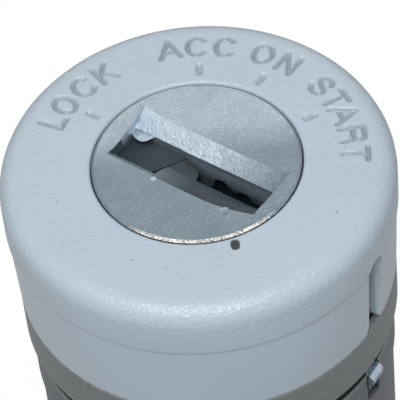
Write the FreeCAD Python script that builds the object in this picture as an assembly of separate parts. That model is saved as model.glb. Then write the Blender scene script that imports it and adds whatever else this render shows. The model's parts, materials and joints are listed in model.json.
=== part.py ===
"""Ignition lock cylinder: bezel cap, die-cast housing, plug with wafers, shutter, detent and drive.

Millimetres. The lock stands on its rear rim: the origin is the centre of that rim and +Z is the axis,
towards the face. Most heights are given as a depth below the face. The plug and all it carries are
drawn with the key recess along +X and then turned to the LOCK position.
"""

import FreeCAD, Part
import os
from math import cos, radians, sin, tan

from FreeCAD import Rotation, Vector

# Overall
overall_length = 66.0
rear_section = 23.0
chamfer = 0.4

# Plug, from its body outwards
lock_angle = -39.3
body_radius = 9.0
face_step = 0.45
face_gap = 0.2
plug_rim_round = 0.5
flange_reach = 2.2
flange_thickness = 2.05
flange_gap = 0.15
tail_radius = 4.6
tail_half_flats = 3.3
tail_length = 7.0

# Bezel cap, from the housing's neck outwards
neck_wall = 4.6
bezel_fit = 0.1
skirt_wall = 1.7
skirt_taper = 0.25
skirt_depth = 13.8
head_overhang = 0.15
head_round = 2.0
head_height = 5.1
head_lower_round = 0.12
face_wall = 3.0
hole_round = 0.4

# Position marks and the slot in the skirt
mark_angles = (141.0, 84.0, 54.0, 20.0)
mark_from_hole = 1.75
mark_length = 1.65
mark_width = 0.95
mark_depth = 0.35
slot_angle = -34.5
slot_width = 2.1
slot_into_head = 0.5
slot_round = 0.9

# Recess, measured along (u) and across (v) the keyway
recess_end_wall = 1.55
recess_far = 2.7
recess_near = -3.4
far_slope_depth = 1.3
near_slope_depth = 1.05
keyway_left = -2.2
keyway_from_end = 0.7
throat_half = 1.22
throat_depth = 3.5
chamber_half = 2.0
chamber_depth = 10.5
keyway_half = 1.1
keyway_floor = 7.0
ward_reach = 0.75
ward_width = 1.5

# Shutter
pocket_right = -2.6
pocket_near = -3.15
flap_top = 2.05
flap_thickness = 0.5
flap_side_gap = 0.12
flap_tail = 0.6
flap_barrel_radius = 0.7
shutter_pin_radius = 0.35
shutter_spring_wire = 0.17
shutter_spring_turns = 2.5
shutter_spring_leg = 1.8
hinge_from_end = 0.9
flap_bend_run = 0.58
flap_bend_far = -2.1
nose_slope = 24.0
nose_reach_near = 3.6
nose_reach_far = 0.9

# Wafers
wafer_count = 8
first_wafer_gap = 3.5
last_wafer_gap = 8.2
wafer_thickness = 1.0
wafer_half_width = 2.6
wafer_travel = 0.8
wafer_end_gap = 0.05
wafer_side_gap = 0.05
window_half = 1.3
window_slack = 0.25
cut_steps = (0.0, 0.6, 0.3, 0.9, 0.3, 0.0, 0.9, 0.6)
wing_from_edge = 4.0
wing_length = 1.2
wing_reach = 1.8
wafer_spring_offset = 3.5
wafer_spring_radius = 0.8
wafer_spring_wire = 0.26
wafer_spring_turns = 2.5
wafer_spring_length = 3.7
race_depth = 1.05
race_side_gap = 0.4

# Housing
ring_gap = 0.25
ring_height = 4.6
groove_step = 0.7
groove_height = 0.5
collar_step = 0.4
collar_chamfer = 1.1
collar_foot = 1.2
barrel_step = 0.2
barrel_from_end = 2.0
waist_depth = 2.8
rear_flange_height = 10.0
guide_width = 3.0
guide_depth = 1.5
race_rib_width = 8.0
race_rib_height = 1.4

# Running fits and washers
bore_clearance = 0.06
counterbore_gap = 0.1
washer_thickness = 0.4
pin_fit = 0.02

# Rear chamber, coupling and plate
bore_past_body = 1.0
chamber_wall_step = 1.6
coupling_gap = 0.2
coupling_side_gap = 0.8
coupling_flange_thickness = 3.0
hub_radius = 5.6
hub_recess = 0.6
socket_width = 6.0
socket_depth = 8.4
lug_length = 2.4
coupling_pin_radius = 0.8
plate_recess = 3.1
plate_recess_step = 1.5
plate_thickness = 1.6
plate_gap = 0.1
ear_from_edge = 3.8
ear_radius = 3.0
screw_radius = 1.45
screw_hole_gap = 0.05
screw_length = 6.8
screw_head_radius = 2.6
screw_head_height = 1.3
drive_slot_width = 0.7
switch_hole_from_edge = 2.7
switch_hole_radius = 1.25
switch_hole_depth = 7.0

# START return spring
return_spring_gap = 1.15
return_spring_wire = 0.9
return_spring_pitch = 2.4
return_spring_lead = 1.4
return_spring_full_turns = 3
start_lead = 98.0
spring_leg_slot = 1.4

# Detent
detent_angle = 230.7
detent_from_end = 6.0
ball_radius = 1.5
ball_hover = 0.03
ball_hole_gap = 0.05
dimple_depth = 0.37
detent_stops = (0.0, 57.0, 87.0)
set_screw_radius = 1.95
set_screw_length = 1.6
set_screw_socket = 0.9
detent_spring_radius = 1.2
detent_spring_wire = 0.35
detent_spring_turns = 3

# Retaining latch
latch_width = 1.9
latch_side_gap = 0.18
latch_seat = 1.8
latch_bar = 1.3
latch_travel = 1.3
latch_floor_gap = 0.1
latch_rise = 0.85
latch_end_gap = 0.3
latch_foot = 0.4
nose_from_groove = 1.45
nose_length = 3.2
nose_reach = 0.55
latch_spring_radius = 0.95
latch_spring_wire = 0.28
latch_pocket_wall = 1.15

# Bezel pin
bezel_pin_angle = 90.0
bezel_pin_from_foot = 4.8
bezel_pin_radius = 1.0
bezel_pin_hold = 2.4

# Values that follow from the ones above
axis = Vector(0, 0, 1)
origin = Vector(0, 0, 0)
beyond = 1.0

plug_face_radius = body_radius + face_step
hole_radius = plug_face_radius + face_gap
flange_radius = body_radius + flange_reach
bore_radius = body_radius + bore_clearance
neck_radius = flange_radius + neck_wall
skirt_inner = neck_radius + bezel_fit
skirt_bottom_radius = skirt_inner + skirt_wall
skirt_top_radius = skirt_bottom_radius + skirt_taper
head_radius = skirt_top_radius + head_overhang
ring_radius = skirt_bottom_radius
groove_radius = neck_radius + groove_step
collar_radius = ring_radius - collar_step
barrel_radius = collar_radius - barrel_step
rear_body_radius = barrel_radius - waist_depth
race_rib_radius = rear_body_radius + race_rib_height
mark_circle = hole_radius + mark_from_hole

body_end = overall_length - rear_section
bore_end = body_end + bore_past_body
barrel_end = body_end - barrel_from_end
detent_depth = body_end - detent_from_end
keyway_depth = body_end - keyway_floor
first_wafer_depth = chamber_depth + first_wafer_gap
wafer_pitch = (body_end - last_wafer_gap - first_wafer_depth) / wafer_count
flange_top = face_wall + flange_gap
flange_bottom = flange_top + flange_thickness
washer_top = flange_bottom + bore_clearance
counterbore_depth = washer_top + washer_thickness
slot_top = head_height - slot_into_head
ring_top = skirt_depth + ring_gap
ring_bottom = ring_top + ring_height
groove_bottom = ring_bottom + groove_height
rear_flange_top = overall_length - rear_flange_height
plate_seat = overall_length - plate_recess

chamber_radius = body_radius + chamber_wall_step
coupling_flange_radius = chamber_radius - coupling_side_gap
coupling_front = bore_end + coupling_gap
coupling_flange_back = coupling_front + coupling_flange_thickness
coupling_pin_depth = coupling_front + coupling_flange_thickness / 2
hub_end = overall_length - hub_recess
plate_recess_radius = chamber_radius + plate_recess_step
ear_offset = barrel_radius - ear_from_edge
switch_hole_offset = barrel_radius - switch_hole_from_edge
return_spring_radius = hub_radius + return_spring_gap + return_spring_wire / 2
return_spring_front = coupling_flange_back + lug_length + return_spring_lead

recess_half_length = plug_face_radius - recess_end_wall
keyway_right = recess_half_length - keyway_from_end
hinge_u = -recess_half_length + hinge_from_end
hinge_depth = flap_top + flap_barrel_radius
pocket_far = throat_half + 0.05
wing_start = body_radius - wing_from_edge
wing_side = wafer_half_width + wing_reach
wing_slot_side = wing_side + wafer_side_gap * 2
spring_pocket_radius = wafer_spring_radius + 0.15

ball_rest = body_radius + ball_radius + ball_hover
set_screw_seat = barrel_radius - set_screw_length - chamfer
nose_top = groove_bottom + nose_from_groove
nose_bottom = nose_top + nose_length
nose_middle = (nose_top + nose_bottom) / 2
nose_radius = collar_radius + nose_reach
collar_bottom = nose_bottom + collar_foot
latch_inner = collar_radius - latch_seat
latch_top = ring_top - latch_rise
latch_bottom = nose_bottom + latch_foot
latch_pocket_floor = body_radius + race_depth + latch_pocket_wall
bezel_pin_depth = skirt_depth - bezel_pin_from_foot
bezel_pin_inner = neck_radius - bezel_pin_hold


def at(depth):
    """Height above the rear rim of a depth below the face."""
    return overall_length - depth


def disc(radius, top, bottom):
    """Solid cylinder on the axis between two depths."""
    return Part.makeCylinder(radius, bottom - top, Vector(0, 0, at(bottom)))


def ring(outer, inner, top, bottom):
    return disc(outer, top, bottom).cut(disc(inner, top, bottom))


def turned(profile):
    """Solid of revolution of a closed outline of (radius, depth) points."""
    points = [Vector(radius, 0, at(depth)) for radius, depth in profile]
    face = Part.Face(Part.makePolygon(points + points[:1]))
    return face.revolve(origin, axis, 360)


def block(x0, x1, y0, y1, top, bottom):
    """Box from its corners, with its height given as two depths."""
    return Part.makeBox(x1 - x0, y1 - y0, bottom - top, Vector(x0, y0, at(bottom)))


def about_axis(shape, angle):
    shape = shape.copy()
    shape.rotate(origin, axis, angle)
    return shape


def radial_cylinder(radius, inner, outer, depth):
    """Cylinder that lies along +X at a depth."""
    return Part.makeCylinder(radius, outer - inner, Vector(inner, 0, at(depth)), Vector(1, 0, 0))


def joined(shapes):
    """The shapes fused to one, with the faces that become flush merged."""
    first = shapes[0]
    return first.multiFuse(shapes[1:]).removeSplitter()


def edges_at(shape, test):
    """Edges whose middle point passes a test."""
    found = []
    for edge in shape.Edges:
        middle = edge.valueAt((edge.FirstParameter + edge.LastParameter) / 2)
        if test(edge, middle):
            found.append(edge)
    return found


def circles_at(shape, radius, depth):
    """Circular edges on the axis with one radius at one depth."""

    def test(edge, middle):
        same_height = abs(middle.z - at(depth)) < 1e-4
        return same_height and abs(Vector(middle.x, middle.y, 0).Length - radius) < 1e-4

    return edges_at(shape, test)


def coil(radius, wire, length, turns):
    """Coil spring of square wire along +Z from the origin, with its ends clear of both seats."""
    rise = length - wire
    helix = Part.makeHelix(rise / turns, rise, radius - wire / 2)
    near = radius - wire
    corners = [Vector(near, 0, -wire / 2), Vector(radius, 0, -wire / 2)]
    corners += [Vector(radius, 0, wire / 2), Vector(near, 0, wire / 2)]
    section = Part.makePolygon(corners + corners[:1])
    spring = Part.Wire(helix.Edges).makePipeShell([section], True, True)
    spring.translate(Vector(0, 0, wire / 2))
    return spring


def laid(shape, start, direction):
    """A shape drawn along +Z, laid along another direction from a start point."""
    shape = shape.copy()
    turn = Rotation(axis, direction)
    shape.rotate(origin, turn.Axis, turn.Angle * 180 / 3.141592653589793)
    shape.translate(start)
    return shape


def on_plug(shape):
    """A shape drawn with the recess along +X, turned to LOCK."""
    return about_axis(shape, lock_angle)


def make_bezel_cap():
    """Cap with a rounded head, a drafted skirt, the plug hole, the marks and the slot."""
    cap = turned([
        (hole_radius, 0),
        (head_radius, 0),
        (head_radius, head_height),
        (skirt_top_radius, head_height),
        (skirt_bottom_radius, skirt_depth),
        (skirt_inner, skirt_depth),
        (skirt_inner, face_wall),
        (hole_radius, face_wall),
    ])
    cap = cap.makeFillet(head_round, circles_at(cap, head_radius, 0))
    cap = cap.makeFillet(head_lower_round, circles_at(cap, head_radius, head_height))
    cap = cap.makeFillet(hole_round, circles_at(cap, hole_radius, 0))
    half = slot_width / 2
    slot = block(skirt_inner - beyond, head_radius + beyond, -half, half, slot_top, skirt_depth + beyond)

    def top_corner(edge, middle):
        return abs(middle.z - at(slot_top)) < 1e-6 and abs(abs(middle.y) - half) < 1e-6

    slot = slot.makeFillet(slot_round, edges_at(slot, top_corner))
    cap = cap.cut(about_axis(slot, slot_angle))

    def foot_corner(edge, middle):
        flat = Vector(middle.x, middle.y, 0)
        across = about_axis(Part.Vertex(flat), -slot_angle).Point
        at_wall = abs(abs(across.y) - half) < 1e-4 and across.x > 0
        return at_wall and abs(middle.z - at(skirt_depth)) < 1e-4

    cap = cap.makeFillet(slot_round, edges_at(cap, foot_corner))
    for angle in mark_angles:
        cap = cap.cut(about_axis(position_mark(), angle))
    pin_hole = radial_cylinder(bezel_pin_radius + pin_fit, bezel_pin_inner, head_radius, bezel_pin_depth)
    return cap.cut(about_axis(pin_hole, bezel_pin_angle))


def position_mark():
    """Shallow round-ended recess that points at the plug."""
    reach = mark_length / 2 - mark_width / 2
    near, far = mark_circle - reach, mark_circle + reach
    bar = block(near, far, -mark_width / 2, mark_width / 2, -beyond, mark_depth)
    ends = [Part.makeCylinder(mark_width / 2, beyond + mark_depth, Vector(x, 0, at(mark_depth)))
            for x in (near, far)]
    return joined([bar] + ends)


def make_bezel_pin():
    outer = skirt_bottom_radius - pin_fit
    pin = radial_cylinder(bezel_pin_radius, bezel_pin_inner + pin_fit, outer, bezel_pin_depth)
    return about_axis(pin, bezel_pin_angle)


def plate_outline(gap, top, bottom):
    """Round plate with two ears for the screws, smaller by a gap all round."""
    shapes = [disc(plate_recess_radius - gap, top, bottom)]
    half = ear_radius - gap
    shapes.append(block(-ear_offset, ear_offset, -half, half, top, bottom))
    for side in (-1, 1):
        shapes.append(Part.makeCylinder(half, bottom - top, Vector(side * ear_offset, 0, at(bottom))))
    return joined(shapes)


def make_lock_housing():
    """Die-cast housing: neck, ring, groove, barrel, rear body and rear flange, bored through."""
    body = turned([
        (0, face_wall),
        (neck_radius, face_wall),
        (neck_radius, ring_top),
        (ring_radius, ring_top),
        (ring_radius, ring_bottom),
        (groove_radius, ring_bottom),
        (groove_radius, groove_bottom),
        (collar_radius, groove_bottom + collar_chamfer),
        (collar_radius, collar_bottom),
        (barrel_radius, collar_bottom + barrel_step),
        (barrel_radius, barrel_end),
        (rear_body_radius, barrel_end + waist_depth),
        (rear_body_radius, rear_flange_top),
        (barrel_radius, rear_flange_top),
        (barrel_radius, overall_length),
        (0, overall_length),
    ])
    rims = circles_at(body, barrel_radius, overall_length)
    rims += circles_at(body, barrel_radius, rear_flange_top)
    body = body.makeChamfer(chamfer, rims)
    rib_half = race_rib_width / 2
    rib = block(-race_rib_radius, race_rib_radius, -rib_half, rib_half,
                barrel_end, rear_flange_top + chamfer)
    body = joined([body, on_plug(rib)])
    body = body.cut(disc(flange_radius + counterbore_gap, face_wall - beyond, counterbore_depth))
    body = body.cut(disc(bore_radius, face_wall, bore_end + beyond))
    body = body.cut(disc(chamber_radius, bore_end, overall_length))
    body = body.cut(plate_outline(0, plate_seat, overall_length + beyond))
    race_half = wafer_half_width + race_side_gap
    race_reach = body_radius + race_depth
    race_top = first_wafer_depth - wafer_pitch / 2
    race = block(-race_reach, race_reach, -race_half, race_half, race_top, bore_end + beyond)
    body = body.cut(on_plug(race))
    guide = block(collar_radius - guide_depth, head_radius, -guide_width / 2, guide_width / 2,
                  ring_bottom, barrel_end + waist_depth)
    body = body.cut(about_axis(guide, bezel_pin_angle))
    body = body.cut(latch_space())
    body = body.cut(detent_space())
    pin_hole = radial_cylinder(bezel_pin_radius + pin_fit, bezel_pin_inner, head_radius, bezel_pin_depth)
    body = body.cut(about_axis(pin_hole, bezel_pin_angle))
    slot_half = spring_leg_slot / 2
    leg_slot = block(chamber_radius - beyond, chamber_radius + beyond, -slot_half, slot_half,
                     return_spring_front, plate_seat)
    body = body.cut(leg_slot)
    for side in (-1, 1):
        foot = Vector(side * ear_offset, 0, at(plate_seat + screw_head_height))
        plate_hole = Part.makeCylinder(screw_radius + screw_hole_gap, screw_length, foot)
        switch_hole = Part.makeCylinder(
            switch_hole_radius, switch_hole_depth, Vector(0, side * switch_hole_offset, 0))
        body = body.cut(plate_hole).cut(switch_hole)
    return body


def latch_space():
    """Channel for the latch, open under the slot and from the groove down, with its spring pocket."""
    half = latch_width / 2 + latch_side_gap
    floor = latch_inner - latch_travel - latch_floor_gap
    outer = latch_inner + latch_bar + latch_side_gap
    foot = latch_bottom + latch_end_gap
    channel = block(floor, outer, -half, half, latch_top - latch_end_gap, foot)
    window = block(floor, head_radius + beyond, -half, half, ring_bottom + latch_end_gap, foot)
    pocket_radius = latch_spring_radius + ball_hole_gap * 2
    pocket = radial_cylinder(pocket_radius, latch_pocket_floor, latch_inner, nose_middle)
    return about_axis(joined([channel, window, pocket]), slot_angle)


def detent_space():
    """Radial hole for the ball and its spring, opened out for the set screw."""
    outer = barrel_radius + beyond
    hole = radial_cylinder(ball_radius + ball_hole_gap, body_radius - beyond, outer, detent_depth)
    thread = radial_cylinder(set_screw_radius + screw_hole_gap, set_screw_seat, outer, detent_depth)
    return about_axis(joined([hole, thread]), detent_angle)


def make_thrust_washer():
    inner = body_radius + washer_thickness / 2
    return ring(flange_radius, inner, washer_top, counterbore_depth)


def recess_prism(outline, u0, u1):
    """Prism along the recess of an outline of (v, depth) points."""
    points = [Vector(u0, v, at(depth)) for v, depth in outline]
    return Part.Face(Part.makePolygon(points + points[:1])).extrude(Vector(u1 - u0, 0, 0))


def key_recess():
    """The recess in the face: a far slope, a near slope, the flap's pocket and the keyway."""
    far_run = (recess_far - throat_half) / far_slope_depth
    near_run = (-throat_half - recess_near) / near_slope_depth
    lift = beyond
    slopes = recess_prism([
        (recess_far + far_run * lift, -lift),
        (throat_half, far_slope_depth),
        (throat_half, near_slope_depth),
        (-throat_half, near_slope_depth),
        (recess_near - near_run * lift, -lift),
    ], pocket_right, recess_half_length)
    left = recess_prism([
        (recess_far + far_run * lift, -lift),
        (throat_half, far_slope_depth),
        (pocket_far, far_slope_depth),
        (pocket_far, chamber_depth),
        (pocket_near, chamber_depth),
        (pocket_near, -lift),
    ], -recess_half_length, pocket_right)
    shapes = [slopes, left]
    start = pocket_right - lift
    shapes.append(block(start, keyway_right, -throat_half, throat_half, 0, chamber_depth))
    shapes.append(block(start, keyway_left, pocket_near, pocket_far, flap_top - lift, chamber_depth))
    start = keyway_left - lift
    shapes.append(block(start, keyway_right, -chamber_half, chamber_half, throat_depth, chamber_depth))
    keyway = block(keyway_left, keyway_right, -keyway_half, keyway_half, chamber_depth - lift, keyway_depth)
    width = (keyway_right - keyway_left) / 4
    for side, start in ((-1, keyway_left + width), (1, keyway_right - width - ward_width)):
        near, far = sorted((side * keyway_half, side * (keyway_half - ward_reach)))
        keyway = keyway.cut(block(start, start + ward_width, near, far, chamber_depth, keyway_depth))
    shapes.append(keyway)
    return joined(shapes)


def wafer_depth(number):
    return first_wafer_depth + number * wafer_pitch


def wafer_side(number):
    """The side that a wafer springs out to: +1 and -1 by turns."""
    return 1 if number % 2 == 0 else -1


def wafer_slot(number):
    """Slot through the plug for one wafer and its wing, with the pocket for its spring."""
    side = wafer_side(number)
    half = wafer_thickness / 2 + wafer_side_gap
    top, bottom = wafer_depth(number) - half, wafer_depth(number) + half
    reach = body_radius + beyond
    across = wafer_half_width + wafer_side_gap
    slot = block(-reach, reach, -across, across, top, bottom)
    u0, u1 = sorted((side * (wing_start - wafer_side_gap), side * reach))
    v0, v1 = sorted((side * (across - wafer_side_gap), side * wing_slot_side))
    wing = block(u0, u1, v0, v1, top, bottom)
    start = wing_start - wafer_spring_length - wafer_side_gap
    pocket = Part.makeCylinder(
        spring_pocket_radius, wing_start - start,
        Vector(side * start, side * wafer_spring_offset, at(wafer_depth(number))), Vector(side, 0, 0))
    return joined([slot, wing, pocket])


def make_plug():
    """Plug: face boss, flange, body and flatted tail, with the recess and the wafer slots."""
    body = turned([
        (0, 0),
        (plug_face_radius, 0),
        (plug_face_radius, flange_top),
        (flange_radius, flange_top),
        (flange_radius, flange_bottom),
        (body_radius, flange_bottom),
        (body_radius, body_end),
        (tail_radius, body_end),
        (tail_radius, body_end + tail_length),
        (0, body_end + tail_length),
    ])
    body = body.makeFillet(plug_rim_round, circles_at(body, plug_face_radius, 0))
    rims = circles_at(body, body_radius, body_end) + circles_at(body, tail_radius, body_end + tail_length)
    body = body.makeChamfer(chamfer, rims)
    for side in (-1, 1):
        v0, v1 = sorted((side * tail_half_flats, side * (tail_radius + beyond)))
        body = body.cut(block(-tail_radius, tail_radius, v0, v1, body_end, body_end + tail_length + beyond))
    body = body.cut(key_recess())
    body = body.cut(joined([wafer_slot(number) for number in range(wafer_count)]))
    pin_far = throat_half + hinge_from_end * 1.5
    pin_hole = Part.makeCylinder(
        shutter_pin_radius + pin_fit, plug_face_radius + pin_far,
        Vector(hinge_u, -plug_face_radius, at(hinge_depth)), Vector(0, 1, 0))
    body = body.cut(pin_hole)
    dimple_radius = ball_radius + ball_hole_gap
    dimple_centre = body_radius - dimple_depth + dimple_radius
    for stop in detent_stops:
        dimple = Part.makeSphere(dimple_radius, Vector(dimple_centre, 0, at(detent_depth)))
        body = body.cut(about_axis(dimple, detent_angle - lock_angle + stop))
    cross = coupling_flange_radius + beyond
    cross_hole = Part.makeCylinder(
        coupling_pin_radius + pin_fit, 2 * cross, Vector(0, -cross, at(coupling_pin_depth)), Vector(0, 1, 0))
    return on_plug(body.cut(cross_hole))


def make_shutter_pin():
    length = throat_half + hinge_from_end - pocket_near + hinge_from_end
    start = Vector(hinge_u, pocket_near - hinge_from_end, at(hinge_depth))
    return on_plug(Part.makeCylinder(shutter_pin_radius, length, start, Vector(0, 1, 0)))


def make_shutter_flap():
    """Flap with a split hinge barrel, a flat plate with a slanting bend, and a nose that dips."""
    near = pocket_near + flap_side_gap
    far = pocket_far - flap_side_gap
    nose_near = -throat_half + flap_side_gap
    nose_far = throat_half - flap_side_gap

    def bend(v):
        return flap_bend_far - flap_bend_run * (nose_far - v)

    tail = hinge_u - flap_tail
    outline = [(tail, near), (bend(near), near), (bend(far), far), (tail, far)]
    points = [Vector(u, v, at(flap_top + flap_thickness)) for u, v in outline]
    plate = Part.Face(Part.makePolygon(points + points[:1])).extrude(Vector(0, 0, flap_thickness))
    outline = [(bend(nose_near), nose_near), (bend(nose_near) + nose_reach_near, nose_near),
               (bend(nose_far) + nose_reach_far, nose_far), (bend(nose_far), nose_far)]
    drop = nose_reach_near * tan(radians(nose_slope)) + 2 * flap_thickness
    points = [Vector(u, v, at(flap_top + drop)) for u, v in outline]
    column = Part.Face(Part.makePolygon(points + points[:1])).extrude(Vector(0, 0, drop))
    corner = Vector(bend(nose_near), nose_near, at(flap_top))
    along = Vector(flap_bend_run, 1, 0).normalize()
    reach = nose_reach_near * 2
    slab = Part.makeBox(reach * 2, reach * 3, flap_thickness, Vector(-reach, -reach, -flap_thickness))
    slab.rotate(origin, axis, -90 + Rotation(Vector(1, 0, 0), along).Angle * 180 / 3.141592653589793)
    slab.rotate(origin, along, nose_slope)
    slab.translate(corner)
    nose = column.common(slab)
    barrel = Part.makeCylinder(
        flap_barrel_radius, far - near, Vector(hinge_u, near, at(hinge_depth)), Vector(0, 1, 0))
    flap = joined([plate, nose, barrel])
    bore = Part.makeCylinder(
        shutter_pin_radius + 2 * pin_fit, far - near + 2 * beyond,
        Vector(hinge_u, near - beyond, at(hinge_depth)), Vector(0, 1, 0))
    gap_near, gap_far = spring_gap()
    clear = flap_barrel_radius + 2 * pin_fit
    gap = block(hinge_u - clear, hinge_u + clear, gap_near, gap_far, 0, hinge_depth + clear)
    return on_plug(flap.cut(bore).cut(gap))


def spring_gap():
    """The stretch of the flap's barrel that is left out for its spring."""
    middle = (pocket_near + pocket_far) / 2
    return middle - hinge_from_end, middle + hinge_from_end


def make_shutter_spring():
    """Torsion spring round the hinge pin, one leg under the flap and one down the pocket wall."""
    wire = shutter_spring_wire
    gap_near, gap_far = spring_gap()
    near, far = gap_near + flap_side_gap, gap_far - flap_side_gap
    radius = shutter_pin_radius + pin_fit * 2 + wire
    spring = coil(radius, wire, far - near, shutter_spring_turns)
    spring = laid(spring, Vector(hinge_u, near, at(hinge_depth)), Vector(0, 1, 0))
    edge, core = wire * 0.15, wire * 0.4
    leg = shutter_spring_leg
    flap_leg = block(hinge_u + radius - wire + edge, hinge_u + leg,
                     near + edge, near + wire - edge, hinge_depth - core, hinge_depth + core)
    wall_leg = block(hinge_u - radius + edge, hinge_u - radius + wire - edge,
                     far - wire + edge, far - edge, hinge_depth - core, hinge_depth + leg)
    return on_plug(joined([spring, flap_leg, wall_leg]))


def make_wafer(number):
    """Brass plate with rounded ends, a window set by the key's cut, and a wing for the spring."""
    side = wafer_side(number)
    half = wafer_thickness / 2
    top, bottom = wafer_depth(number) - half, wafer_depth(number) + half
    reach = body_radius - wafer_end_gap
    plate = disc(reach, top, bottom)
    plate = plate.common(block(-reach, reach, -wafer_half_width, wafer_half_width, top, bottom))
    u0, u1 = sorted((side * wing_start, side * (wing_start + wing_length)))
    v0, v1 = sorted((side * (wafer_half_width - wafer_side_gap), side * wing_side))
    plate = joined([plate, block(u0, u1, v0, v1, top, bottom)])
    left = keyway_left - window_slack
    right = keyway_right + window_slack
    if side > 0:
        left += cut_steps[number]
    else:
        right -= cut_steps[number]
    window = block(left, right, -window_half, window_half, top - beyond, bottom + beyond)
    return on_plug(plate.cut(window))


def make_wafer_spring(number):
    side = wafer_side(number)
    start = wing_start - wafer_spring_length - wafer_side_gap / 2
    spring = coil(wafer_spring_radius, wafer_spring_wire, wafer_spring_length, wafer_spring_turns)
    place = Vector(side * start, side * wafer_spring_offset, at(wafer_depth(number)))
    return on_plug(laid(spring, place, Vector(side, 0, 0)))


def make_drive_coupling():
    """Coupling: flange with a flatted recess and a spring lug, hub with a square socket."""
    body = joined([
        disc(coupling_flange_radius, coupling_front, coupling_flange_back),
        disc(hub_radius, coupling_front, hub_end),
    ])
    body = body.makeChamfer(chamfer, circles_at(body, hub_radius, hub_end))
    tail = disc(tail_radius + bore_clearance, coupling_front - beyond, body_end + tail_length + coupling_gap)
    flats = tail_half_flats + bore_clearance
    wide = tail_radius + beyond
    tail = tail.common(block(-wide, wide, -flats, flats, coupling_front - beyond, hub_end))
    half = socket_width / 2
    socket = block(-half, half, -half, half, hub_end - socket_depth, hub_end + beyond)
    lug_inner = hub_radius + return_spring_gap
    lug = block(lug_inner, coupling_flange_radius - chamfer, -chamfer * 2, chamfer * 2,
                coupling_flange_back - chamfer, coupling_flange_back + lug_length)
    cross = coupling_flange_radius
    cross_hole = Part.makeCylinder(
        coupling_pin_radius + pin_fit, 2 * cross, Vector(0, -cross, at(coupling_pin_depth)), Vector(0, 1, 0))
    body = joined([body, lug])
    body = body.cut(on_plug(tail)).cut(socket).cut(on_plug(cross_hole))
    return body


def make_coupling_pin():
    reach = (coupling_flange_radius ** 2 - coupling_pin_radius ** 2) ** 0.5 - pin_fit
    start = Vector(0, -reach, at(coupling_pin_depth))
    return on_plug(Part.makeCylinder(coupling_pin_radius, 2 * reach, start, Vector(0, 1, 0)))


def make_return_spring():
    """Torsion spring round the coupling's hub: one leg in the housing, one waits for the lug at ON."""
    wire = return_spring_wire
    turns = return_spring_full_turns - start_lead / 360
    length = turns * return_spring_pitch + wire
    outer = return_spring_radius + wire / 2
    low = return_spring_front + length
    spring = coil(outer, wire, length, turns)
    spring.translate(Vector(0, 0, at(low)))
    edge, core = wire * 0.1, wire * 0.4
    anchor = block(outer - wire + edge, chamber_radius + beyond / 2, -core, core,
                   low - wire + edge, low - edge)
    leg = block(outer - wire + edge, outer - edge, -core, core,
                coupling_flange_back + coupling_gap, return_spring_front + wire - edge)
    return joined([spring, anchor, about_axis(leg, -start_lead)])


def make_rear_plate():
    bottom = plate_seat + plate_thickness
    plate = plate_outline(plate_gap, plate_seat, bottom)
    plate = plate.cut(disc(hub_radius + plate_gap, plate_seat - beyond, bottom + beyond))
    for side in (-1, 1):
        hole = Part.makeCylinder(
            screw_radius + plate_gap, plate_thickness + 2 * beyond,
            Vector(side * ear_offset, 0, at(bottom + beyond)))
        plate = plate.cut(hole)
    return plate


def make_plate_screws():
    """Two pan-head screws, each with a driving slot."""
    seat = plate_seat + plate_thickness
    screws = []
    for side in (-1, 1):
        centre = Vector(side * ear_offset, 0, at(seat))
        shank = Part.makeCylinder(screw_radius, screw_length, centre)
        foot = centre - Vector(0, 0, screw_head_height)
        head = Part.makeCylinder(screw_head_radius, screw_head_height, foot)
        screw = joined([shank, head])
        low = [edge for edge in screw.Edges if edge.BoundBox.ZMax < foot.z + beyond / 1000]
        screw = screw.makeChamfer(chamfer, low)
        slot = Part.makeBox(2 * screw_head_radius + beyond, drive_slot_width, screw_head_height / 2)
        slot.translate(foot - Vector(screw_head_radius + beyond / 2, drive_slot_width / 2, 0))
        screws.append(screw.cut(slot))
    return Part.makeCompound(screws)


def make_detent_ball():
    return about_axis(Part.makeSphere(ball_radius, Vector(ball_rest, 0, at(detent_depth))), detent_angle)


def make_detent_set_screw():
    screw = radial_cylinder(set_screw_radius, set_screw_seat, barrel_radius - chamfer, detent_depth)
    points = []
    for corner in range(6):
        angle = radians(60 * corner)
        y = set_screw_socket * cos(angle)
        z = at(detent_depth) + set_screw_socket * sin(angle)
        points.append(Vector(barrel_radius - chamfer - set_screw_length / 2, y, z))
    socket = Part.Face(Part.makePolygon(points + points[:1])).extrude(Vector(set_screw_length, 0, 0))
    return about_axis(screw.cut(socket), detent_angle)


def make_detent_spring():
    start = ball_rest + ball_radius + pin_fit
    end = set_screw_seat - pin_fit
    spring = coil(detent_spring_radius, detent_spring_wire, end - start, detent_spring_turns)
    spring = laid(spring, Vector(start, 0, at(detent_depth)), Vector(1, 0, 0))
    return about_axis(spring, detent_angle)


def make_retaining_latch():
    """Flat steel bar with a nose that stands proud of the barrel, its front edge sloped."""
    half = latch_width / 2
    outer = latch_inner + latch_bar
    bar = block(latch_inner, outer, -half, half, latch_top, latch_bottom)
    points = [(outer - chamfer, nose_top), (nose_radius - chamfer, nose_top)]
    points += [(nose_radius, nose_top + chamfer), (nose_radius, nose_top + beyond)]
    points += [(outer, nose_bottom), (outer - chamfer, nose_bottom)]
    outline = [Vector(radius, -half, at(depth)) for radius, depth in points]
    nose = Part.Face(Part.makePolygon(outline + outline[:1])).extrude(Vector(0, latch_width, 0))
    return about_axis(joined([bar, nose]), slot_angle)


def make_latch_spring():
    start = latch_pocket_floor + pin_fit
    length = latch_inner - pin_fit - start
    spring = coil(latch_spring_radius, latch_spring_wire, length, detent_spring_turns)
    return about_axis(laid(spring, Vector(start, 0, at(nose_middle)), Vector(1, 0, 0)), slot_angle)


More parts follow.
